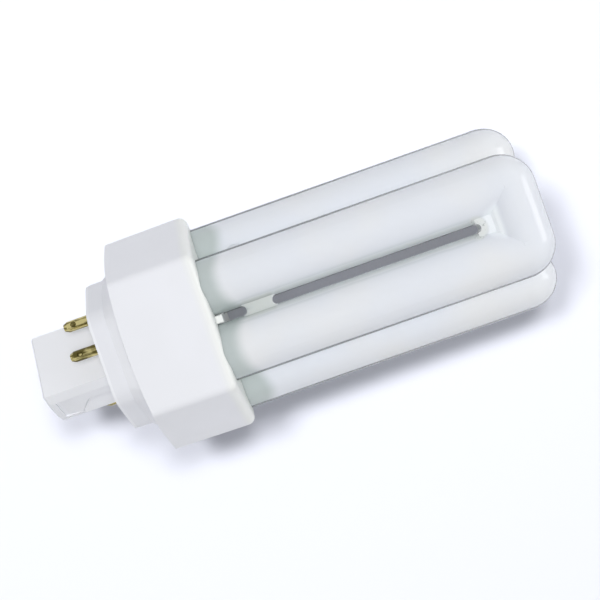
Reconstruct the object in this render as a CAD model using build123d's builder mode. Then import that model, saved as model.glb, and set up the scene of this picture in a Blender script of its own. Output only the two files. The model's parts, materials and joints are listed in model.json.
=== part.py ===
from build123d import *

# Four pin compact fluorescent lamp with three glass U bends, lying on its side.
# Millimetres. While it is drawn, the lamp's axis is +X, and stations are measured from the post's end.
# The last step tips the finished lamp onto the surface that it lies on, with +Z up.

import os
from math import asin, atan2, cos, degrees, hypot, radians, sin, tan

os.makedirs("parts", exist_ok=True)

# Lengths along the lamp
lamp_length = 111.4
post_length = 15.0
collar_length = 4.4
holder_length = 20.2

# Glass discharge tube
leg_count = 6
leg_diameter = 12.2
leg_gap = 1.95
bend_inner_radius = 1.2
slot_end_from_tip = 14.0
bridge_from_rim = 7.95
slot_radius = 0.95
web_thickness = 6.4
bridge_diameter = 5.9
plain_leg_above_floor = 3.2
plain_leg_flat_radius = 1.5
seal_above_floor = 1.4
seal_length = 4.2
seal_shoulder = 4.6
seal_width = 10.4
seal_thickness = 3.4
seal_edge_radius = 1.5
exhaust_tip_diameter = 3.6
exhaust_tip_length = 1.9

# Tube holder, one moulding: a six-sided cup with a collar on its base side
long_side_margin = 0.45
short_side_margin = 3.15
holder_draft_angle = 0.8
holder_corner_radius = 1.6
holder_rim_radius = 1.7
shoulder_start_radius = 12.0
shoulder_rise = 2.1
cup_wall = 1.4
cup_floor = 3.8
rim_plate_thickness = 2.0
leg_clearance = 0.1
socket_end_clearance = 0.4

# Collar on the base side of the holder
collar_wall = 0.8
collar_play = 0.05
collar_wire_room = 1.3
collar_short_side_extra = 0.6
collar_corner_extra = 1.8
collar_edge_radius = 4.0
flare_length = 1.3
flare_angle = 35.0

# Cement between the legs
cement_depth = 4.0
cement_clearance = 0.05

# Plug base, one moulding: flange, spigot and hollow post
flange_inset = 0.15
flange_thickness = 0.6
spigot_length = 2.4
spigot_clearance = 0.08
post_half_depth = 6.05
post_half_width = 8.1
post_face_half_width = 7.4
post_side_half_depth = 3.5
post_end_bevel = 0.4
post_wall = 1.5
recess_start = 8.0
recess_tip_start = 4.5
recess_tip_across = 4.1
recess_edge_across = 0.8
recess_depth = 1.2
recess_floor_angle = 6.0
recess_cut_start = 0.2
recess_slope_angle = 40.0
ramp_start = 1.6
ramp_depth = 0.6
ramp_edge_across = 3.3

# Contact pins
pin_across = 23.0
pin_apart = 7.4
pin_diameter = 2.34
pin_bore_diameter = 1.1
pin_length = 6.0
pin_tip_length = 0.9
pin_tip_diameter = 1.5
pin_shank_diameter = 2.8
pin_head_diameter = 3.2
pin_head_thickness = 0.5
crimp_from_tip = 2.2
crimp_diameter = 1.3
crimp_depth = 0.42
crimp_turn_angle = 20.0

# Lead wires from the seals to the pins
wire_diameter = 0.5
wire_spacing = 3.4
wire_bend_radius = 1.2
wire_end_from_tip = 1.2
wire_rise = 1.3
wire_rise_step = 1.1

# Directions round the axis, in degrees from +Y towards +Z
bend_facings = (90, 210, 330)
bridge_facings = (30, 270)
seal_legs = (120, 180)
exhaust_leg = 0
pin_side_facing = 60
pin_side_turn = 30
holder_corner_angle = 60

# Sizes and places that follow from the ones above
leg_radius = leg_diameter / 2
leg_circle_radius = leg_diameter + leg_gap
leg_plane_distance = leg_circle_radius * cos(radians(180 / leg_count))
leg_half_pitch = leg_circle_radius * sin(radians(180 / leg_count))
leg_facings = [number * 360 / leg_count for number in range(leg_count)]
plain_legs = [facing for facing in leg_facings if facing not in seal_legs]
plain_leg_rounding = leg_radius - plain_leg_flat_radius
flange_station = post_length
collar_station = flange_station + flange_thickness
holder_station = collar_station + collar_length
rim_station = holder_station + holder_length
flare_station = holder_station - flare_length
bridge_station = rim_station + bridge_from_rim
slot_end_station = lamp_length - slot_end_from_tip
cup_floor_station = holder_station + cup_floor
plain_leg_station = cup_floor_station + plain_leg_above_floor
seal_station = cup_floor_station + seal_above_floor
crossing_station = lamp_length - leg_radius
bend_station = crossing_station - bend_inner_radius
crossing_half_length = leg_half_pitch - bend_inner_radius
web_length = crossing_station - slot_end_station + slot_radius
seal_top_station = seal_station + seal_length
seal_leg_station = seal_top_station + seal_shoulder
long_side_distance = leg_plane_distance + leg_radius + long_side_margin
short_side_distance = leg_plane_distance + leg_radius + short_side_margin
pin_middle_reach = pin_across * cos(radians(pin_side_turn)) + pin_apart * sin(radians(pin_side_turn))
pin_reach = (pin_middle_reach + pin_head_diameter) / 2
collar_inside_distance = max(pin_reach, leg_plane_distance + collar_wire_room) + collar_play
collar_long_side_distance = collar_inside_distance + collar_wall
collar_short_side_distance = collar_long_side_distance + collar_short_side_extra
collar_radius = collar_long_side_distance + collar_corner_extra
socket_station = plain_leg_station - socket_end_clearance
plate_station = rim_station - rim_plate_thickness
spigot_end_station = collar_station + spigot_length
cavity_half_depth = post_half_depth - post_wall
cavity_half_width = post_half_width - recess_depth - post_wall
recess_overrun = recess_depth * 2
pin_tip_station = flange_station - pin_length
pin_end_station = spigot_end_station + pin_head_thickness
pin_places = [(side * pin_across / 2, end * pin_apart / 2) for side in (1, -1) for end in (-1, 1)]


def round_axis(facing):
    """Unit vector square to the lamp's axis, facing the given angle."""
    return Vector(0, cos(radians(facing)), sin(radians(facing)))


def section(station, facing=0):
    """Plane across the lamp at a station; its x direction has the given facing."""
    return Plane(origin=(station, 0, 0), x_dir=round_axis(facing), z_dir=(1, 0, 0))


def side_plane(station, facing, distance):
    """Plane along the lamp whose normal has the given facing; its x direction is the lamp's axis."""
    normal = round_axis(facing)
    return Plane(origin=Vector(station, 0, 0) + normal * distance, x_dir=(1, 0, 0), z_dir=normal)


def six_corners(long_distance, short_distance):
    """Corners of a six-sided outline whose long sides face the U bends."""
    turn = radians(holder_corner_angle)
    half_side = (short_distance - long_distance * cos(turn)) / sin(turn)
    corners = []
    for facing in bend_facings:
        middle = round_axis(facing) * long_distance
        along = round_axis(facing + 90) * half_side
        for corner in (middle - along, middle + along):
            corners.append((corner.Y, corner.Z))
    return corners


def holder_outline(inset):
    """Sketch of the cup's six-sided outline with rounded corners, moved inwards by the inset."""
    Polygon(*six_corners(long_side_distance - inset, short_side_distance - inset), align=None)
    fillet(vertices(), holder_corner_radius)


def collar_outline(inset):
    """Sketch of the collar: a disc with six flats and soft edges, all moved inwards by the inset."""
    Circle(collar_radius - inset)
    flats = six_corners(collar_long_side_distance - inset, collar_short_side_distance - inset)
    Polygon(*flats, align=None, mode=Mode.INTERSECT)
    fillet(vertices(), collar_edge_radius - inset)


# Glass discharge tube: six legs in three U bends, joined in line by two fused bridges
with BuildPart() as discharge_tube:
    for facing in plain_legs:
        with BuildSketch(section(plain_leg_station, facing)):
            with Locations((leg_circle_radius, 0)):
                Circle(leg_radius)
        extrude(amount=bend_station - plain_leg_station)
    leg_ends = discharge_tube.edges().filter_by(GeomType.CIRCLE).group_by(Axis.X)[0]
    fillet(leg_ends, plain_leg_rounding)

    for facing in seal_legs:
        # The end of this leg is pressed flat round its two lead wires.
        with BuildSketch(section(seal_station, facing)):
            with Locations((leg_circle_radius, 0)):
                RectangleRounded(seal_thickness, seal_width, seal_edge_radius)
        extrude(amount=seal_length)
        with BuildSketch(section(seal_top_station, facing)):
            with Locations((leg_circle_radius, 0)):
                Ellipse(seal_thickness / 2, seal_width / 2)
        with BuildSketch(section(seal_leg_station, facing)):
            with Locations((leg_circle_radius, 0)):
                Circle(leg_radius)
        loft()
        with BuildSketch(section(seal_leg_station, facing)):
            with Locations((leg_circle_radius, 0)):
                Circle(leg_radius)
        extrude(amount=bend_station - seal_leg_station)

    # The tube was pumped and filled through this short tip.
    with BuildSketch(section(plain_leg_station - exhaust_tip_length, exhaust_leg)):
        with Locations((leg_circle_radius, 0)):
            Circle(exhaust_tip_diameter / 2)
    extrude(amount=exhaust_tip_length + plain_leg_rounding)

    for facing in bend_facings:
        outward = round_axis(facing)
        across = round_axis(facing + 90)
        bend_middle = Vector(bend_station, 0, 0) + outward * leg_plane_distance
        crossing_middle = bend_middle + Vector(bend_inner_radius, 0, 0)
        with BuildSketch(Plane(origin=crossing_middle, x_dir=(1, 0, 0), z_dir=across)):
            Circle(leg_radius)
        extrude(amount=crossing_half_length, both=True)
        for side in (-1, 1):
            corner = bend_middle + across * (side * crossing_half_length)
            outwards_in_bend = across * side
            with BuildSketch(Plane(origin=corner, x_dir=outwards_in_bend, z_dir=(-side, 0, 0))):
                with BuildLine():
                    lower = Line((0, -leg_radius), (bend_inner_radius, -leg_radius))
                    CenterArc((bend_inner_radius, 0), leg_radius, -90, 180)
                    upper = Line((bend_inner_radius, leg_radius), (0, leg_radius))
                    Line(upper @ 1, lower @ 0)
                make_face()
            revolve(axis=Axis(corner, outward * side), revolution_arc=90)
        # The two legs are welded together behind the slot's round end.
        with BuildSketch(side_plane(slot_end_station, facing, leg_plane_distance)):
            with Locations((-slot_radius, 0)):
                Rectangle(web_length, leg_half_pitch, align=(Align.MIN, Align.CENTER))
                Circle(slot_radius, mode=Mode.SUBTRACT)
        extrude(amount=web_thickness / 2, both=True)

    for facing in bridge_facings:
        bridge_middle = Vector(bridge_station, 0, 0) + round_axis(facing) * leg_plane_distance
        with BuildSketch(Plane(origin=bridge_middle, x_dir=(1, 0, 0), z_dir=round_axis(facing + 90))):
            Circle(bridge_diameter / 2)
        extrude(amount=leg_half_pitch, both=True)


# Tube holder: the cup tapers a little, its rim is rounded and six sockets take the legs
shoulder_edge_radius = hypot(*six_corners(long_side_distance, short_side_distance)[0])

with BuildPart() as tube_holder:
    with BuildSketch(section(holder_station)):
        holder_outline(0)
    extrude(amount=rim_station - holder_station, taper=-holder_draft_angle)
    fillet(tube_holder.edges().group_by(Axis.X)[-1], holder_rim_radius)

    # The shoulder on the base side slopes, so its edge bows along each flat side.
    with BuildSketch(Plane.XY):
        with BuildLine():
            Polyline(
                (holder_station, shoulder_start_radius),
                (holder_station, shoulder_edge_radius),
                (holder_station + shoulder_rise, shoulder_edge_radius),
                close=True,
            )
        make_face()
    revolve(axis=Axis.X, mode=Mode.SUBTRACT)

    with BuildSketch(section(collar_station)):
        collar_outline(0)
    extrude(amount=cup_floor_station - collar_station)

    # The collar flares where it meets the shoulder.
    with BuildSketch(section(flare_station)):
        collar_outline(0)
    extrude(amount=flare_length * 2, taper=-flare_angle)

    with BuildSketch(section(cup_floor_station)):
        holder_outline(cup_wall)
    extrude(amount=plate_station - cup_floor_station, mode=Mode.SUBTRACT)
    with BuildSketch(section(collar_station)):
        collar_outline(collar_wall)
    extrude(amount=cup_floor_station - collar_station, mode=Mode.SUBTRACT)

    with BuildSketch(section(socket_station)):
        with PolarLocations(leg_circle_radius, leg_count):
            Circle(leg_radius + leg_clearance)
    extrude(amount=rim_station - socket_station, mode=Mode.SUBTRACT)


# Cement that fixes the legs under the rim plate
with BuildPart() as tube_cement:
    with BuildSketch(section(plate_station - cement_clearance)):
        holder_outline(cup_wall + cement_clearance)
        with PolarLocations(leg_circle_radius, leg_count):
            Circle(leg_radius + cement_clearance, mode=Mode.SUBTRACT)
    extrude(amount=-cement_depth)


# Plug base: the flange closes the collar, and the hollow post carries the clip recesses
with BuildPart() as base_cap:
    with BuildSketch(section(0, pin_side_facing)):
        with BuildLine():
            Polyline(
                (0, post_half_width),
                (post_side_half_depth, post_half_width),
                (post_half_depth, post_face_half_width),
                (post_half_depth, 0),
            )
            mirror(about=Plane.YZ)
            mirror(about=Plane.XZ)
        make_face()
    extrude(amount=flange_station)
    chamfer(base_cap.edges().group_by(Axis.X)[0], post_end_bevel)

    for side in (1, -1):
        # Each narrow side has a ramp at its end and a recess for the clip, off centre. The recess is
        # deepest at its long wall and runs out to nothing at the edge of the wide side.
        narrow_facing = pin_side_facing + side * 90
        narrow_middle = round_axis(narrow_facing) * post_half_width
        narrow_side = Plane(origin=narrow_middle, x_dir=(1, 0, 0), z_dir=round_axis(narrow_facing))
        with BuildSketch(narrow_side * Pos(0, 0, recess_cut_start) * Rot(-recess_floor_angle, 0, 0)):
            with BuildLine():
                Polyline(
                    (recess_start, recess_edge_across),
                    (recess_tip_start, -recess_tip_across),
                    (recess_tip_start, -post_half_depth - recess_overrun),
                    (flange_station + recess_overrun, -post_half_depth - recess_overrun),
                    (flange_station + recess_overrun, recess_edge_across),
                    close=True,
                )
            make_face()
        extrude(amount=-recess_depth - recess_cut_start, taper=recess_slope_angle, mode=Mode.SUBTRACT)
        ramp_plane = Plane(
            origin=narrow_middle - narrow_side.y_dir * recess_tip_across,
            x_dir=(1, 0, 0),
            z_dir=narrow_side.y_dir,
        )
        with BuildSketch(ramp_plane):
            with BuildLine():
                Polyline((ramp_start, 0), (ramp_start, ramp_depth), (recess_start, 0), close=True)
            make_face()
        extrude(amount=recess_tip_across + ramp_edge_across, mode=Mode.SUBTRACT)

    with BuildSketch(section(flange_station)):
        collar_outline(flange_inset)
    extrude(amount=flange_thickness)
    with BuildSketch(section(collar_station)):
        collar_outline(collar_wall + spigot_clearance)
    extrude(amount=spigot_length)

    # The post is hollow behind its end wall, as mouldings are, and open to the holder.
    with BuildSketch(section(post_wall, pin_side_facing)):
        Rectangle(cavity_half_depth * 2, cavity_half_width * 2)
    extrude(amount=spigot_end_station - post_wall, mode=Mode.SUBTRACT)

    with BuildSketch(section(flange_station, pin_side_facing)):
        with Locations(*pin_places):
            Circle(pin_shank_diameter / 2)
    extrude(amount=spigot_end_station - flange_station, mode=Mode.SUBTRACT)


def pin_axis_point(place):
    """Where a pin's axis crosses the plane of the post's end."""
    across_at, apart_at = place
    return round_axis(pin_side_facing) * across_at + round_axis(pin_side_facing + 90) * apart_at


def make_pin(place):
    """Hollow brass pin: coned tip, two crimp dents, a thicker shank in the flange and a head behind it."""
    axis_point = pin_axis_point(place)
    pin_plane = Plane(origin=axis_point, x_dir=(1, 0, 0), z_dir=round_axis(pin_side_facing + 90))
    bore = pin_bore_diameter / 2
    with BuildPart() as pin:
        with BuildSketch(pin_plane):
            with BuildLine():
                Polyline(
                    (pin_tip_station, bore),
                    (pin_tip_station, pin_tip_diameter / 2),
                    (pin_tip_station + pin_tip_length, pin_diameter / 2),
                    (flange_station, pin_diameter / 2),
                    (flange_station, pin_shank_diameter / 2),
                    (spigot_end_station, pin_shank_diameter / 2),
                    (spigot_end_station, pin_head_diameter / 2),
                    (pin_end_station, pin_head_diameter / 2),
                    (pin_end_station, bore),
                    close=True,
                )
            make_face()
        revolve(axis=Axis(axis_point, (1, 0, 0)))
        crimp_point = axis_point + Vector(pin_tip_station + crimp_from_tip, 0, 0)
        for turn in (crimp_turn_angle, crimp_turn_angle + 180):
            dent_distance = pin_diameter / 2 + crimp_diameter / 2 - crimp_depth
            with Locations(crimp_point + round_axis(pin_side_facing + turn) * dent_distance):
                Sphere(crimp_diameter / 2, mode=Mode.SUBTRACT)
    return pin


def make_wire(seal_leg, end, place):
    """Lead wire: out of the seal, across behind the spigot and down the pin's bore."""
    seal_point = round_axis(seal_leg) * leg_circle_radius
    seal_point = seal_point + round_axis(seal_leg + 90) * (end * wire_spacing / 2)
    pin_point = pin_axis_point(place)
    crossing = pin_end_station + wire_rise
    if place[1] < 0:
        crossing = crossing + wire_rise_step
    route = [
        seal_point + Vector(seal_station, 0, 0),
        seal_point + Vector(crossing, 0, 0),
        pin_point + Vector(crossing, 0, 0),
        pin_point + Vector(pin_tip_station + wire_end_from_tip, 0, 0),
    ]
    with BuildPart() as wire:
        with BuildLine() as wire_line:
            FilletPolyline(*route, radius=wire_bend_radius)
        with BuildSketch(Plane(origin=route[0], x_dir=(0, 1, 0), z_dir=(-1, 0, 0))):
            Circle(wire_diameter / 2)
        sweep(path=wire_line.line)
    return wire


pins = [make_pin(place) for place in pin_places]

# Each seal feeds the two pins on its side: the outer wire goes to the near pin.
wires = [
    make_wire(seal_legs[0], 1, pin_places[0]),
    make_wire(seal_legs[0], -1, pin_places[1]),
    make_wire(seal_legs[1], -1, pin_places[2]),
    make_wire(seal_legs[1], 1, pin_places[3]),
]

pieces = {
    "discharge_tube": discharge_tube,
    "tube_holder": tube_holder,
    "tube_cement": tube_cement,
    "base_cap": base_cap,
}
for number, (pin, wire) in enumerate(zip(pins, wires), start=1):
    pieces[f"contact_pin_{number}"] = pin
    pieces[f"lead_wire_{number}"] = wire

# The lamp lies on the short side of its holder's rim and on the two lowest glass legs,
# so its axis dips towards the glass end by the angle of the line that touches both.
rim_widening = (rim_station - holder_station) * tan(radians(holder_draft_angle))
rim_contact_depth = short_side_distance + rim_widening - holder_rim_radius
leg_contact_depth = leg_plane_distance + leg_radius
contact_drop = rim_contact_depth - leg_contact_depth
contact_run = bend_station - (rim_station - holder_rim_radius)
rest_angle = atan2(contact_drop, contact_run) + asin(holder_rim_radius / hypot(contact_drop, contact_run))
tipped = Rot(0, degrees(rest_angle), 0)
tipped_box = Compound([tipped * piece.part for piece in pieces.values()]).bounding_box()
rest_place = Pos(-tipped_box.center().X, -tipped_box.center().Y, -tipped_box.min.Z) * tipped

for name, piece in pieces.items():
    seated = rest_place * piece.part
    seated.label = name
    export_step(seated, f"parts/{name}.step")
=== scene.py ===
# %% [markdown]
# A plug-in fluorescent lamp, dressed around its packed model.
# The frame holds every piece at its real size and place. This file gives the pieces their looks: it never
# moves them. The first cell loads the frame.

# %% Load the frame
import json
from math import cos, radians, sin

import bpy
from mathutils import Matrix, Vector


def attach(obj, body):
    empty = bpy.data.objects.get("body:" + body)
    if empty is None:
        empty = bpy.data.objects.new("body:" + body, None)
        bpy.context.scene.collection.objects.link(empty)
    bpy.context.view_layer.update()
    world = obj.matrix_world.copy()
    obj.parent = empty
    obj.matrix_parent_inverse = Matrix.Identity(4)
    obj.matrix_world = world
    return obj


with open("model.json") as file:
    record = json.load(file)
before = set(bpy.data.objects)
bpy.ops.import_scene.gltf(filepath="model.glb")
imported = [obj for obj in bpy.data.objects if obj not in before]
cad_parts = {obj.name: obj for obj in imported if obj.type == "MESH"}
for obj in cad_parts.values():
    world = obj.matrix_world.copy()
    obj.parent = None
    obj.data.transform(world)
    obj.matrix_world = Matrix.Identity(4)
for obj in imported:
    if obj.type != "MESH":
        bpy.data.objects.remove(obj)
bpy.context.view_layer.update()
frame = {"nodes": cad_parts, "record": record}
bpy.ops.object.select_all(action="DESELECT")
MM = 0.001
print("nodes:", sorted(frame["nodes"]))

# %% [markdown]
# The lamp lies on its side, and its glass end dips a little, so its axis isn't quite level. Its pins and its
# post are interfaces in the record, and they give the axis. Everything that is painted later is placed by
# three numbers: how far along the lamp from the end of its post, how far to the left, and how far up.

# %% The lamp's own axes
mounts = {mount["name"]: mount for mount in frame["record"]["mounts"]}
post_end = Vector(mounts["plug_post"]["pos_m"])
along = -Vector(mounts["plug_post"]["axis"]).normalized()
left = Vector((0, 1, 0))
upward = along.cross(left).normalized()
print("post end", post_end, "along", along, "upward", upward)

# %% [markdown]
# The photograph looks straight down on the lamp, from about 30 cm. A long lens at that distance keeps the
# near tubes only a little larger than the far ones. The camera is turned about its own line of sight, so
# that the lamp lies across the picture with its base at the lower left.

# %% Camera
CAMERA_PLACE = Vector((0.02302, -0.00114, 0.30569))
LOOK_AT = Vector((0.00010, -0.00185, 0.0))
PICTURE_TURN = radians(19.42)
LENS = 79.64
picture_up = Vector((sin(PICTURE_TURN), cos(PICTURE_TURN), 0))
picture_right = Vector((cos(PICTURE_TURN), -sin(PICTURE_TURN), 0))


def make_camera():
    data = bpy.data.cameras.new("camera")
    data.lens = LENS
    data.clip_start = 0.01
    camera = bpy.data.objects.new("camera", data)
    bpy.context.scene.collection.objects.link(camera)
    back = (CAMERA_PLACE - LOOK_AT).normalized()
    right = picture_up.cross(back).normalized()
    up = back.cross(right)
    turn = Matrix((right, up, back)).transposed().to_4x4()
    camera.matrix_world = Matrix.Translation(CAMERA_PLACE) @ turn
    bpy.context.scene.camera = camera
    return camera


camera = make_camera()
print("camera at", camera.location)

# %% [markdown]
# A material is a tree of small nodes, which could be joined by hand in the shader editor. Written out, they
# are many lines. The Patch class adds a node and hands back its output, so that a mask reads as a formula.

# %% Tools for node trees


class Patch:
    """Adds nodes to one node tree. Each call gives back the new node's output."""

    def __init__(self, tree):
        self.tree = tree

    def feed(self, socket, value):
        if isinstance(value, bpy.types.NodeSocket):
            self.tree.links.new(value, socket)
        else:
            socket.default_value = value

    def math(self, operation, *values):
        node = self.tree.nodes.new("ShaderNodeMath")
        node.operation = operation
        for socket, value in zip(node.inputs, values):
            self.feed(socket, value)
        return node.outputs[0]

    def vector_math(self, operation, *values, out=0):
        node = self.tree.nodes.new("ShaderNodeVectorMath")
        node.operation = operation
        for socket, value in zip(node.inputs, values):
            self.feed(socket, value)
        return node.outputs[out]

    def ramp(self, value, start, end, low=0.0, high=1.0):
        """A soft step from low to high while the value goes from start to end."""
        node = self.tree.nodes.new("ShaderNodeMapRange")
        node.interpolation_type = "SMOOTHSTEP"
        for socket, number in zip(node.inputs, (value, start, end, low, high)):
            self.feed(socket, number)
        return node.outputs[0]

    def noise(self, vector, scale, detail=3.0, roughness=0.5):
        node = self.tree.nodes.new("ShaderNodeTexNoise")
        self.feed(node.inputs["Vector"], vector)
        node.inputs["Scale"].default_value = scale
        node.inputs["Detail"].default_value = detail
        node.inputs["Roughness"].default_value = roughness
        return node.outputs[0]

    def cells(self, vector, scale):
        """Distance to the walls between the cells of a cracked pattern."""
        node = self.tree.nodes.new("ShaderNodeTexVoronoi")
        node.feature = "DISTANCE_TO_EDGE"
        self.feed(node.inputs["Vector"], vector)
        node.inputs["Scale"].default_value = scale
        return node.outputs["Distance"]

    def mix(self, factor, first, second, kind="FLOAT"):
        node = self.tree.nodes.new("ShaderNodeMix")
        node.data_type = kind
        self.feed(node.inputs["Factor"], factor)
        self.feed(node.inputs["A"], first)
        self.feed(node.inputs["B"], second)
        return node.outputs["Result"]

    def mix_color(self, factor, first, second):
        return self.mix(factor, first, second, "RGBA")

    def mix_shader(self, factor, first, second):
        node = self.tree.nodes.new("ShaderNodeMixShader")
        for socket, value in zip(node.inputs, (factor, first, second)):
            self.feed(socket, value)
        return node.outputs[0]

    def bump(self, height, strength, distance):
        node = self.tree.nodes.new("ShaderNodeBump")
        node.inputs["Strength"].default_value = strength
        node.inputs["Distance"].default_value = distance
        self.feed(node.inputs["Height"], height)
        return node.outputs[0]

    def object_place(self):
        return self.tree.nodes.new("ShaderNodeTexCoord").outputs["Object"]

    def light_path(self):
        return self.tree.nodes.new("ShaderNodeLightPath").outputs

    def group(self, group, **values):
        node = self.tree.nodes.new("ShaderNodeGroup")
        node.node_tree = group
        for name, value in values.items():
            self.feed(node.inputs[name.replace("_", " ")], value)
        return node.outputs


def new_group(name, inputs, outputs):
    """A shader node group with its sockets, and the patch and ends to build it with."""
    group = bpy.data.node_groups.new(name, "ShaderNodeTree")
    for socket, kind in inputs.items():
        group.interface.new_socket(socket, in_out="INPUT", socket_type=kind)
    for socket, kind in outputs.items():
        group.interface.new_socket(socket, in_out="OUTPUT", socket_type=kind)
    start = group.nodes.new("NodeGroupInput")
    end = group.nodes.new("NodeGroupOutput")
    return group, Patch(group), start.outputs, end.inputs


def new_material(name, color, roughness, metallic=0.0):
    material = bpy.data.materials.new(name)
    material.use_nodes = True
    shader = material.node_tree.nodes["Principled BSDF"]
    shader.inputs["Base Color"].default_value = (*color, 1)
    shader.inputs["Roughness"].default_value = roughness
    shader.inputs["Metallic"].default_value = metallic
    return material, Patch(material.node_tree), shader


print("node tools:", [name for name in vars(Patch) if not name.startswith("_")])

# %% [markdown]
# A white lamp on a white sheet needs a bright tent and a soft light from the front. The tent looks brighter
# in reflections than it lights. The sheet gets two lights of its own from above the lamp in the picture, one
# from each side, so that a soft shadow falls below the lamp and a weaker one past its ends. Coated glass
# lets light through: most of the front light and the end light aren't blocked by it, so the near tubes throw
# only faint bands on the far ones, and a little glow falls on the sheet under the lamp.

# %% Lights
DOME_COLOR = (0.97, 0.98, 1.0, 1)
DOME_LIGHT = 0.45
DOME_SEEN = 0.85
FRONT_THROUGH = 0.36
FRONT_BLOCKED = 0.12
END_LIGHT = 0.18
SHEET_LEFT = 0.57
SHEET_RIGHT = 0.47
SHEET_TILT = radians(17)
GLOW_LIGHT = 0.50
POWER_OF_ONE = 9.87
LIT_POINT = Vector((0, 0, 0.02))


def soft_light(name, direction, distance, size, light, seen=True, lights=True, aim=LIT_POINT):
    """A square soft light. Its strength is the share of a full white that it gives a face square to it.

    A light that isn't seen makes no highlight, and a card that doesn't light is only seen in highlights.
    """
    data = bpy.data.lights.new(name, "AREA")
    data.shape = "RECTANGLE"
    data.size, data.size_y = size
    data.energy = light * POWER_OF_ONE * distance ** 2
    light_object = bpy.data.objects.new(name, data)
    bpy.context.scene.collection.objects.link(light_object)
    light_object.location = aim + direction.normalized() * distance
    light_object.rotation_euler = direction.to_track_quat("Z", "Y").to_euler()
    light_object.visible_glossy = seen
    light_object.visible_diffuse = lights
    return light_object


def from_picture(right, up, height):
    """A direction given as the picture shows it: to the right, up the picture and towards the eye."""
    return picture_right * right + picture_up * up + Vector((0, 0, height))


def make_world():
    """A pale tent. Past the edge of the sheet, where it is seen itself, it is white."""
    world = bpy.data.worlds.new("studio")
    world.use_nodes = True
    background = world.node_tree.nodes["Background"]
    background.inputs["Color"].default_value = DOME_COLOR
    patch = Patch(world.node_tree)
    path = patch.light_path()
    strength = patch.mix(path["Is Glossy Ray"], DOME_LIGHT, DOME_SEEN)
    looked_at = patch.math("MAXIMUM", path["Is Camera Ray"], path["Is Transmission Ray"])
    patch.feed(background.inputs["Strength"], patch.mix(looked_at, strength, 1.0))
    bpy.context.scene.world = world


make_world()
bpy.context.scene.view_settings.view_transform = "Standard"
tilted = sin(SHEET_TILT)
from_left = from_picture(-0.85 * tilted, 0.53 * tilted, cos(SHEET_TILT))
from_right = from_picture(0.35 * tilted, 0.94 * tilted, cos(SHEET_TILT))
from_front = from_picture(0.10, 0.06, 1.0)
front_through = soft_light("front_through", from_front, 1.0, (0.35, 0.35), FRONT_THROUGH, seen=False)
front_blocked = soft_light("front_blocked", from_front, 1.0, (0.35, 0.35), FRONT_BLOCKED, seen=False)
end_light = soft_light("end", Vector((1.0, 0, 0.45)), 1.0, (0.5, 0.4), END_LIGHT, seen=False)
sheet_left = soft_light("sheet_left", from_left, 1.0, (0.2, 0.2), SHEET_LEFT, seen=False)
sheet_right = soft_light("sheet_right", from_right, 1.0, (0.2, 0.2), SHEET_RIGHT, seen=False)
under_lamp = Vector((0.019, 0, 0))
glow = soft_light("glow", Vector((0, 0, 1)), 0.02, (0.072, 0.008), GLOW_LIGHT, seen=False, aim=under_lamp)
soft_light("base_card", Vector((-1.0, 0, 0.22)), 0.5, (0.30, 0.22), 0.16, lights=False)
soft_light("end_card", Vector((1.0, 0, 0.27)), 0.5, (0.22, 0.20), 0.13, lights=False)
print("lights:", sorted(light.name for light in bpy.data.lights))

# %% [markdown]
# The floor is a plain white sheet under strong light, so its own colour is a mid grey that comes out white
# to the camera and in glass and metal. To the lamp it sends back only what a pale sheet would. The lights
# stand close, so the sheet would go grey far from the lamp: there it turns to a plain white where it is seen.

# %% Floor
FLOOR_SEEN = (0.72, 0.735, 0.81, 1)
FLOOR_COLOR = (0.52, 0.52, 0.52, 1)
FLOOR_SIDE = 4.0
FAR_START = 0.15
FAR_END = 0.50


def make_floor():
    bpy.ops.object.select_all(action="DESELECT")
    bpy.ops.mesh.primitive_plane_add(size=FLOOR_SIDE, location=(0, 0, 0))
    floor = bpy.context.object
    floor.name = "floor"
    floor.data.materials.append(make_sheet())
    bpy.ops.object.select_all(action="DESELECT")
    return floor


def make_sheet():
    material = bpy.data.materials.new("white_sheet")
    material.use_nodes = True
    nodes = material.node_tree.nodes
    nodes.clear()
    patch = Patch(material.node_tree)
    path = patch.light_path()
    seen = patch.math("MAXIMUM", path["Is Camera Ray"], path["Is Glossy Ray"])
    seen = patch.math("MAXIMUM", seen, path["Is Transmission Ray"])
    diffuse = nodes.new("ShaderNodeBsdfDiffuse")
    patch.feed(diffuse.inputs["Color"], patch.mix_color(seen, FLOOR_COLOR, FLOOR_SEEN))
    white = nodes.new("ShaderNodeEmission")
    distance = patch.vector_math("LENGTH", patch.object_place(), out=1)
    far_and_seen = patch.math("MULTIPLY", patch.ramp(distance, FAR_START, FAR_END), seen)
    output = nodes.new("ShaderNodeOutputMaterial")
    surface = patch.mix_shader(far_and_seen, diffuse.outputs[0], white.outputs[0])
    patch.feed(output.inputs["Surface"], surface)
    return material


def choose(thing, state, name):
    """A collection that takes a thing in (INCLUDE), or leaves it out (EXCLUDE), for a light to go by."""
    chosen = bpy.data.collections.new(name)
    chosen.objects.link(thing)
    chosen.collection_objects[0].light_linking.link_state = state
    return chosen


floor = make_floor()
glass = frame["nodes"]["discharge_tube"]
sheet_alone = choose(floor, "INCLUDE", "sheet_alone")
all_but_sheet = choose(floor, "EXCLUDE", "all_but_sheet")
all_but_glass = choose(glass, "EXCLUDE", "all_but_glass")
for light in (sheet_left, sheet_right, glow):
    light.light_linking.receiver_collection = sheet_alone
for light in (front_through, front_blocked, end_light):
    light.light_linking.receiver_collection = all_but_sheet
for light in (front_through, end_light, glow):
    light.light_linking.blocker_collection = all_but_glass
print("floor", [round(side, 2) for side in floor.dimensions], "m")

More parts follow.
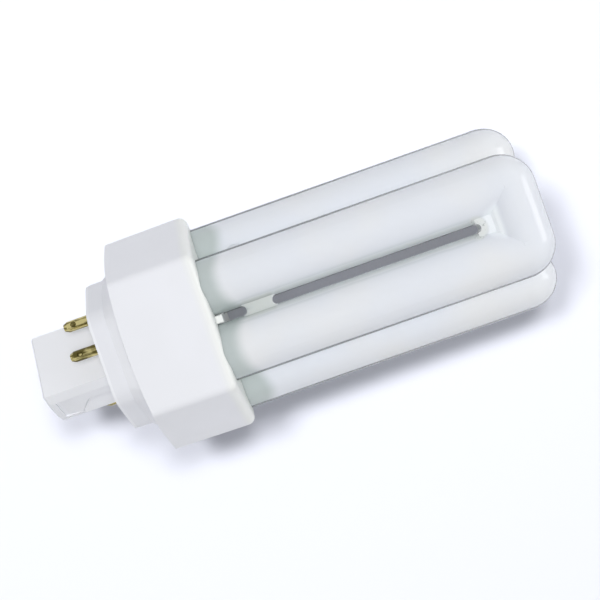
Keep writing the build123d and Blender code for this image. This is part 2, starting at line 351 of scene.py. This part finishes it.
# %% [markdown]
# One group turns a place on any piece into lamp terms, in millimetres: the station along the axis, and how
# far left and up of the axis. A second one uses it for the glass, which repeats every third of a turn: how
# far out along the nearest U bend's facing, and how far across from the middle between its two legs.

# %% Places on the lamp


def make_lamp_place():
    group, patch, start, end = new_group(
        "lamp_place",
        {"Place": "NodeSocketVector"},
        {"Station": "NodeSocketFloat", "Left": "NodeSocketFloat", "Up": "NodeSocketFloat"},
    )
    from_end = patch.vector_math("SUBTRACT", start["Place"], post_end)
    for name, axis in (("Station", along), ("Left", left), ("Up", upward)):
        metres = patch.vector_math("DOT_PRODUCT", from_end, axis, out=1)
        patch.feed(end[name], patch.math("DIVIDE", metres, MM))
    return group


def make_bend_place():
    group, patch, start, end = new_group(
        "bend_place",
        {"Left": "NodeSocketFloat", "Up": "NodeSocketFloat"},
        {"Out": "NodeSocketFloat", "Across": "NodeSocketFloat"},
    )
    facing = patch.math("ARCTAN2", start["Up"], start["Left"])
    reach = patch.math("SQRT", patch.math(
        "ADD",
        patch.math("MULTIPLY", start["Left"], start["Left"]),
        patch.math("MULTIPLY", start["Up"], start["Up"]),
    ))
    # Bends face 90, 210 and 330 degrees, so the turn is wrapped to sixty degrees either side of one.
    turn = patch.math("WRAP", patch.math("SUBTRACT", facing, radians(90)), radians(60), radians(-60))
    patch.feed(end["Out"], patch.math("MULTIPLY", reach, patch.math("COSINE", turn)))
    patch.feed(end["Across"], patch.math("MULTIPLY", reach, patch.math("SINE", turn)))
    return group


LAMP_PLACE = make_lamp_place()
BEND_PLACE = make_bend_place()
print("groups:", [group.name for group in bpy.data.node_groups])

# %% [markdown]
# The glass is coated inside with white powder, and the wall in front of it shines. Next to the holder each
# leg is painted grey-green instead of white, with a soft edge that runs further in along the middle of each
# leg. Round the slot's end, where the glass was fused, the coat is burnt away in a crackled ring. This could
# be painted on an image. Here each place is a mask worked out from the lamp's own sizes, so it stays where it
# is in any view, and all three bends are painted at once.

# %% Masks on the glass
RIM_STATION = 40.2
COAT_START = 42.9
COAT_EDGE = 1.7
COAT_CORNER = 2.6
COAT_WANDER = 0.8
LEG_HALF_PITCH = 7.075
LEG_RADIUS = 6.1
SLOT_END = 97.4
SLOT_RADIUS = 0.95
SLOT_WANDER = 0.5
SEAM_WIDTH = 1.0
RING_WIDTH = 1.1
WEB_START = 98.4
WEB_END = 101.5
WEB_HALF_WIDTH = 2.5
WEB_WIDENING = 0.45
TIE_STATION = 49.6
TIE_HALF_LENGTH = 2.8
TIE_WANDER = 0.6
BRIDGE_STATION = 48.15


def grey_green_end(patch, station, from_middle, ragged):
    """The grey-green end of each leg next to the holder. Its edge curves back at the leg's sides and wanders
    a little.
    """
    leg_offset = patch.math("DIVIDE", patch.math("SUBTRACT", from_middle, LEG_HALF_PITCH), LEG_RADIUS)
    corner = patch.math("MULTIPLY", patch.math("POWER", patch.math("ABSOLUTE", leg_offset), 3.0), COAT_CORNER)
    wander = patch.math("MULTIPLY", ragged, COAT_WANDER)
    edge = patch.math("ADD", patch.math("ADD", corner, COAT_START), wander)
    return patch.ramp(patch.math("SUBTRACT", station, edge), -COAT_EDGE, COAT_EDGE, 1.0, 0.0)


def slot_masks(patch, station, from_middle, ragged):
    """Round the slot's end: the fused seam, the thin coat past it, and the burnt ring."""
    from_end = patch.math("MAXIMUM", patch.math("SUBTRACT", station, SLOT_END - SLOT_RADIUS), 0.0)
    from_slot = patch.math("SQRT", patch.math(
        "ADD",
        patch.math("MULTIPLY", from_end, from_end),
        patch.math("MULTIPLY", from_middle, from_middle),
    ))
    wavy = patch.math("ADD", from_slot, patch.math("MULTIPLY", ragged, SLOT_WANDER))
    seam_start = SLOT_RADIUS + SEAM_WIDTH
    seam_end = SLOT_RADIUS + SEAM_WIDTH * 1.4
    thin_end = SLOT_RADIUS + SEAM_WIDTH * 2.0
    seam = patch.ramp(wavy, seam_start, seam_end, 1.0, 0.0)
    thin = patch.math("SUBTRACT", patch.ramp(wavy, seam_end, thin_end, 0.25, 0.0), seam)
    near_tip = patch.ramp(station, SLOT_END - 2.6, SLOT_END - 0.8)
    near_ring = patch.ramp(wavy, SLOT_RADIUS + RING_WIDTH, SLOT_RADIUS + RING_WIDTH * 1.9, 1.0, 0.0)
    return seam, thin, patch.math("MULTIPLY", near_tip, near_ring)


def web_highlight_mask(patch, station, from_middle):
    """A painted highlight on the thick web past the ring, which widens towards the bend."""
    widening = patch.math("MULTIPLY", patch.math("SUBTRACT", station, WEB_START), WEB_WIDENING)
    half_width = patch.math("ADD", widening, WEB_HALF_WIDTH)
    across = patch.ramp(patch.math("SUBTRACT", from_middle, half_width), -1.0, 0.6, 1.0, 0.0)
    lengthways = patch.math(
        "MULTIPLY",
        patch.ramp(station, WEB_START - 0.6, WEB_START + 0.6),
        patch.ramp(station, WEB_END - 0.4, WEB_END + 0.6, 1.0, 0.0),
    )
    return patch.math("MULTIPLY", across, lengthways)


def tie_tint_and_shade_mask(patch, station, from_middle, ragged):
    """The fused tie between two legs near the holder, a little greener than the coat and darker: the greener
    tint is the fused glass, the darkness a painted shade between the legs.
    """
    from_tie = patch.math("ABSOLUTE", patch.math("SUBTRACT", station, TIE_STATION))
    wavy = patch.math("ADD", from_middle, patch.math("MULTIPLY", ragged, TIE_WANDER))
    return patch.math(
        "MULTIPLY",
        patch.ramp(from_tie, TIE_HALF_LENGTH - 0.2, TIE_HALF_LENGTH + 1.0, 1.0, 0.0),
        patch.ramp(wavy, 1.3, 2.6, 1.0, 0.0),
    )


def bridge_mask(patch, station, from_middle, out):
    """The fused bridges between neighbouring bends, which are nearer the middle of the lamp."""
    from_bridge = patch.math("ABSOLUTE", patch.math("SUBTRACT", station, BRIDGE_STATION))
    between_bends = patch.math(
        "MULTIPLY",
        patch.ramp(from_middle, 9.2, 9.8),
        patch.ramp(out, 7.5, 8.5, 1.0, 0.0),
    )
    return patch.math("MULTIPLY", patch.ramp(from_bridge, 2.5, 3.5, 1.0, 0.0), between_bends)


print("glass masks follow a slot that ends at", SLOT_END, "and a coat that starts at", COAT_START)

# %% [markdown]
# Seen edge-on, the clear wall shows as a dark line beside the white powder. A real wall could be modelled
# round a white core, but the sealed tube is one solid. So the material turns there to a near-black glass: a
# painted dark line, strongest near the holder. The wall shows edge-on across a leg, and not when the eye
# looks along it. So the normal is leaned both ways along the lamp, and whichever faces the eye more is taken.

# %% Painted dark edge of the glass
# A near-black glass paints the dark edge line.
DARK_EDGE_GLASS = (0.03, 0.035, 0.03, 1)
DARK_EDGE_IOR = 1.3
RIM_LEAN = 0.27
RIM_START = 0.60
RIM_FULL = 0.70


def add_dark_edge_line(material, patch, shader, rim_share):
    """Mix in a near-black glass where the wall is seen edge-on: a painted dark line."""
    nodes = material.node_tree.nodes
    # This near-black glass node paints the dark edge line.
    clear = nodes.new("ShaderNodeBsdfPrincipled")
    clear.inputs["Base Color"].default_value = DARK_EDGE_GLASS
    clear.inputs["Roughness"].default_value = 0.05
    clear.inputs["Transmission Weight"].default_value = 1.0
    clear.inputs["IOR"].default_value = DARK_EDGE_IOR
    normal = nodes.new("ShaderNodeNewGeometry").outputs["Normal"]
    edges = []
    for lean in (RIM_LEAN, -RIM_LEAN):
        layer = nodes.new("ShaderNodeLayerWeight")
        layer.inputs["Blend"].default_value = 0.5
        leaned = patch.vector_math("NORMALIZE", patch.vector_math("ADD", normal, along * lean))
        patch.feed(layer.inputs["Normal"], leaned)
        edges.append(layer.outputs["Facing"])
    facing = patch.math("MINIMUM", *edges)
    edge_on = patch.math("MULTIPLY", patch.ramp(facing, RIM_START, RIM_FULL), rim_share)
    surface = patch.mix_shader(edge_on, shader.outputs[0], clear.outputs[0])
    patch.feed(nodes["Material Output"].inputs["Surface"], surface)


def line_strength(patch, station, from_middle):
    """How strong the painted dark line is: strongest near the holder, and none on the slot's thick pale
    sides.
    """
    clear_of_slot = patch.ramp(from_middle, 1.6, 2.6)
    clear_of_slot = patch.math("MAXIMUM", clear_of_slot, patch.ramp(station, WEB_END, WEB_END + 2.0))
    return patch.math("MULTIPLY", clear_of_slot, patch.ramp(station, 45.0, 105.0, 0.95, 0.75))


# Between these facings the painted dark edge line takes over.
print("the wall turns clear from facing", RIM_START, "to", RIM_FULL)

# %% [markdown]
# Now the coat is put together. It starts as two whites in slow clouds, and each mask lays its own colour
# over what came before. The powder scatters light inside itself, which softens the shading round each leg.

# %% Coated glass
POWDER_WHITE = (0.775, 0.80, 0.845, 1)
POWDER_WARM = (0.80, 0.81, 0.82, 1)
GREY_GREEN_GLASS = (0.51, 0.565, 0.56, 1)
FUSED_GLASS = (0.785, 0.81, 0.80, 1)
CRACK = (0.40, 0.43, 0.42, 1)
SEAM_GLASS = (0.765, 0.80, 0.81, 1)
# The web's colour is a painted highlight, brighter and bluer than the powder.
WEB_HIGHLIGHT = (0.89, 0.925, 0.97, 1)
# The tie's colour is a little greener than the coat, and darker as a painted shade between the legs.
TIE_TINT_AND_SHADE = (0.63, 0.665, 0.645, 1)
GLASS_IOR = 1.5
POWDER_SCATTER = 0.5
POWDER_DEPTH = 0.006


def make_coated_glass():
    material, patch, shader = new_material("coated_glass", (0.8, 0.8, 0.84), 0.06)
    place = patch.object_place()
    lamp = patch.group(LAMP_PLACE, Place=place)
    station = lamp["Station"]
    bend = patch.group(BEND_PLACE, Left=lamp["Left"], Up=lamp["Up"])
    from_middle = patch.math("ABSOLUTE", bend["Across"])
    ragged = patch.noise(place, 180, 4.0)
    seam, thin, ring = slot_masks(patch, station, from_middle, ragged)

    crackle = patch.cells(place, 1900)
    specks = patch.ramp(patch.noise(place, 1300, 1.0), 0.52, 0.62)
    cracked = patch.math("MULTIPLY", patch.ramp(crackle, 0.02, 0.09, 1.0, 0.0), specks)
    burnt = patch.mix_color(cracked, FUSED_GLASS, CRACK)

    clouds = patch.ramp(patch.noise(place, 45, 2.0), 0.35, 0.65)
    color = patch.mix_color(clouds, POWDER_WHITE, POWDER_WARM)
    for mask, over in (
        # The web past the ring gets its painted highlight.
        (web_highlight_mask(patch, station, from_middle), WEB_HIGHLIGHT),
        (bridge_mask(patch, station, from_middle, bend["Out"]), FUSED_GLASS),
        (seam, SEAM_GLASS),
        (tie_tint_and_shade_mask(patch, station, from_middle, ragged), TIE_TINT_AND_SHADE),
        (thin, GREY_GREEN_GLASS),
        (grey_green_end(patch, station, from_middle, ragged), GREY_GREEN_GLASS),
        (ring, burnt),
    ):
        color = patch.mix_color(mask, color, over)
    patch.feed(shader.inputs["Base Color"], color)
    patch.feed(shader.inputs["Roughness"], patch.ramp(patch.noise(place, 120, 3.0), 0.3, 0.8, 0.05, 0.11))
    height = patch.math("ADD", patch.math("MULTIPLY", ring, crackle), patch.noise(place, 90, 2.0))
    patch.feed(shader.inputs["Normal"], patch.bump(height, 0.25, 0.0002))
    shader.inputs["IOR"].default_value = GLASS_IOR
    shader.inputs["Subsurface Weight"].default_value = POWDER_SCATTER
    shader.inputs["Subsurface Radius"].default_value = (1.0, 1.0, 1.0)
    shader.inputs["Subsurface Scale"].default_value = POWDER_DEPTH
    add_dark_edge_line(material, patch, shader, line_strength(patch, station, from_middle))
    return material


coated_glass = make_coated_glass()
print("coated glass:", len(coated_glass.node_tree.nodes), "nodes")

# %% [markdown]
# The holder and the plug base are white mouldings. A moulded skin is smooth, with a very fine orange-peel and
# slow changes of gloss where the plastic sank. The holder's rim is painted a little lighter and greener, as a
# painted highlight on its rounded edge.

# %% Moulded plastics
HOLDER_WHITE = (0.85, 0.86, 0.90, 1)
HOLDER_SHADE = (0.835, 0.845, 0.88, 1)
# The rim's tint is a painted highlight on the holder's rounded rim, lighter and a little greener.
RIM_HIGHLIGHT_TINT = (0.865, 0.88, 0.86, 1)
BASE_WHITE = (0.91, 0.92, 0.955, 1)
BASE_SHADE = (0.90, 0.91, 0.94, 1)


def make_moulded(name, color, shade, rim_highlight=None):
    material, patch, shader = new_material(name, color[:3], 0.35)
    place = patch.object_place()
    clouds = patch.ramp(patch.noise(place, 60, 3.0), 0.35, 0.65)
    paint = patch.mix_color(clouds, color, shade)
    if rim_highlight:
        lamp = patch.group(LAMP_PLACE, Place=place)
        # Near the rim the plastic takes the painted highlight tint.
        near_rim = patch.ramp(lamp["Station"], RIM_STATION - 3.0, RIM_STATION - 0.8)
        paint = patch.mix_color(near_rim, paint, rim_highlight)
    patch.feed(shader.inputs["Base Color"], paint)
    patch.feed(shader.inputs["Roughness"], patch.ramp(patch.noise(place, 90, 2.0), 0.3, 0.7, 0.30, 0.42))
    peel = patch.noise(place, 2600, 2.0)
    sunk = patch.noise(place, 140, 1.0)
    height = patch.math("ADD", patch.math("MULTIPLY", peel, 0.15), sunk)
    patch.feed(shader.inputs["Normal"], patch.bump(height, 0.22, 0.0002))
    shader.inputs["IOR"].default_value = 1.5
    return material


holder_plastic = make_moulded("holder_plastic", HOLDER_WHITE, HOLDER_SHADE, RIM_HIGHLIGHT_TINT)
base_plastic = make_moulded("base_plastic", BASE_WHITE, BASE_SHADE)
print("mouldings:", holder_plastic.name, base_plastic.name)

# %% [markdown]
# The pins are plain brass, dulled unevenly by handling, and drawn lengthways so they carry fine scratches
# along the lamp. The dark streaks along them are partly tarnish and partly painted reflection, on the pins
# and the wires alike. The wires are tinned, and the cement is a coarse pale powder set hard.

# %% Brass, wire and cement
BRASS_BRIGHT = (0.62, 0.54, 0.25, 1)
# The dark colour is partly tarnish and partly painted reflection.
BRASS_TARNISH_AND_PAINTED_REFLECTION = (0.12, 0.10, 0.03, 1)
WIRE_BRIGHT = (0.70, 0.70, 0.68, 1)
WIRE_TARNISH_AND_PAINTED_REFLECTION = (0.42, 0.42, 0.41, 1)
CEMENT_PALE = (0.80, 0.78, 0.72, 1)
CEMENT_DARK = (0.62, 0.59, 0.52, 1)


def make_metal(name, bright, tarnish_and_reflection_color, roughness):
    material, patch, shader = new_material(name, bright[:3], roughness, 1.0)
    place = patch.object_place()
    lamp = patch.group(LAMP_PLACE, Place=place)
    drawn = patch.tree.nodes.new("ShaderNodeCombineXYZ")
    patch.feed(drawn.inputs[0], patch.math("MULTIPLY", lamp["Station"], 0.08))
    patch.feed(drawn.inputs[1], lamp["Left"])
    patch.feed(drawn.inputs[2], lamp["Up"])
    scratches_and_streaks = patch.noise(drawn.outputs[0], 1.6, 2.0)
    stains = patch.noise(place, 420, 2.0)
    # Dark streaks along the lamp: partly tarnish, partly painted reflection.
    tarnish_and_painted_reflection = patch.ramp(patch.math("ADD", patch.math("MULTIPLY", stains, 0.45), scratches_and_streaks), 0.62, 0.82)
    patch.feed(shader.inputs["Base Color"], patch.mix_color(tarnish_and_painted_reflection, bright, tarnish_and_reflection_color))
    patch.feed(shader.inputs["Roughness"], patch.ramp(tarnish_and_painted_reflection, 0.0, 1.0, roughness * 0.8, roughness * 1.6))
    patch.feed(shader.inputs["Normal"], patch.bump(scratches_and_streaks, 0.2, 0.00005))
    return material


def make_cement():
    material, patch, shader = new_material("cement", CEMENT_PALE[:3], 0.85)
    place = patch.object_place()
    grains = patch.noise(place, 1500, 5.0, 0.7)
    patch.feed(shader.inputs["Base Color"], patch.mix_color(grains, CEMENT_DARK, CEMENT_PALE))
    patch.feed(shader.inputs["Roughness"], patch.ramp(grains, 0.2, 0.8, 0.95, 0.75))
    patch.feed(shader.inputs["Normal"], patch.bump(grains, 0.5, 0.0002))
    return material


pin_brass = make_metal("pin_brass", BRASS_BRIGHT, BRASS_TARNISH_AND_PAINTED_REFLECTION, 0.20)
lead_wire = make_metal("lead_wire", WIRE_BRIGHT, WIRE_TARNISH_AND_PAINTED_REFLECTION, 0.35)
cement = make_cement()
print("metals:", pin_brass.name, lead_wire.name)

# %% [markdown]
# Near the holder a fused tie joins the two legs of each bend, and its ends are hollowed round like the ends
# of the slot. It could be sculpted, but it is a small plain block of glass: a cube, drilled at both ends by a
# Boolean modifier and softened by a Bevel. It is made once at the origin, copied for the three bends, and
# carried to its place between the legs, which is then left in its mesh.

# %% Ties between the legs
BEND_FACINGS = (90, 210, 330)
LEG_PLANE = 12.254
TIE_WIDTH = 3.2
TIE_THICKNESS = 3.2
SOFT_EDGE = 0.2


def pick(piece):
    """Select one piece alone, so that the next operator acts on nothing else."""
    bpy.ops.object.select_all(action="DESELECT")
    piece.select_set(True)
    bpy.context.view_layer.objects.active = piece


def finish_with(piece, modifier):
    pick(piece)
    bpy.ops.object.modifier_apply(modifier=modifier.name)


def make_block(name, length, width, thickness):
    bpy.ops.object.select_all(action="DESELECT")
    bpy.ops.mesh.primitive_cube_add(size=MM)
    block = bpy.context.object
    block.name = name
    block.scale = (length, width, thickness)
    bpy.ops.object.transform_apply(location=False, rotation=False, scale=True)
    return block


def soften(piece):
    bevel = piece.modifiers.new("soft_edges", "BEVEL")
    bevel.width = SOFT_EDGE * MM
    bevel.segments = 3
    finish_with(piece, bevel)
    bpy.ops.object.shade_smooth_by_angle(angle=radians(35))


def make_tie():
    end_from_middle = TIE_HALF_LENGTH + SLOT_RADIUS
    tie = make_block("leg_tie", 2 * end_from_middle, TIE_WIDTH, TIE_THICKNESS)
    for end in (-1, 1):
        bpy.ops.object.select_all(action="DESELECT")
        bpy.ops.mesh.primitive_cylinder_add(
            vertices=48, radius=SLOT_RADIUS * MM, depth=2 * TIE_THICKNESS * MM,
            location=(end * end_from_middle * MM, 0, 0),
        )
        drill = bpy.context.object
        hollow = tie.modifiers.new("round_end", "BOOLEAN")
        hollow.operation = "DIFFERENCE"
        hollow.object = drill
        finish_with(tie, hollow)
        bpy.data.objects.remove(drill)
    soften(tie)
    return tie


def settle(piece, facing, station):
    """Carry a piece from the origin to its place between the legs, and leave the place in its mesh."""
    outward = left * cos(radians(facing)) + upward * sin(radians(facing))
    across = outward.cross(along)
    middle = post_end + (along * station + outward * LEG_PLANE) * MM
    turn = Matrix((along, across, outward)).transposed().to_4x4()
    piece.matrix_world = Matrix.Translation(middle) @ turn
    pick(piece)
    bpy.ops.object.transform_apply(location=True, rotation=True, scale=True)


def set_between_legs(model, station, material):
    """Put a copy of the model between the legs of each bend, and delete the model."""
    for number, facing in enumerate(BEND_FACINGS, start=1):
        piece = model.copy()
        piece.data = model.data.copy()
        piece.name = f"{model.name}_{number}"
        bpy.context.scene.collection.objects.link(piece)
        settle(piece, facing, station)
        piece.data.materials.append(material)
        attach(piece, "root")
        print(piece.name, "faces", facing, "at station", station)
    bpy.data.objects.remove(model)


set_between_legs(make_tie(), TIE_STATION, coated_glass)

# %% [markdown]
# Between the tie and the holder a tongue of the rim plate stands up between the legs. It is moulded with the
# holder, so it wears the same plastic. It is made and carried to its place in the same way as the tie, and
# needs no hollow ends.

# %% Tongues on the rim plate
TONGUE_START = 39.9
TONGUE_END = 41.65
TONGUE_WIDTH = 1.65
TONGUE_THICKNESS = 4.0

tongue = make_block("rim_tongue", TONGUE_END - TONGUE_START, TONGUE_WIDTH, TONGUE_THICKNESS)
soften(tongue)
set_between_legs(tongue, (TONGUE_START + TONGUE_END) / 2, holder_plastic)

# %% [markdown]
# Each node of the frame takes the material that its slot in the record names. The nodes keep their meshes:
# only the finish is put on, so the lamp stays as large and as it was packed.

# %% Dress the nodes
FINISHES = {
    "coated_glass": coated_glass,
    "holder_plastic": holder_plastic,
    "base_plastic": base_plastic,
    "cement": cement,
    "pin_brass": pin_brass,
    "lead_wire": lead_wire,
}
for row in frame["record"]["subparts"]:
    node = frame["nodes"][row["node"]]
    node.data.materials.clear()
    node.data.materials.append(FINISHES[row["material_slot"]])
    print(row["node"], "wears", row["material_slot"])

# %% [markdown]
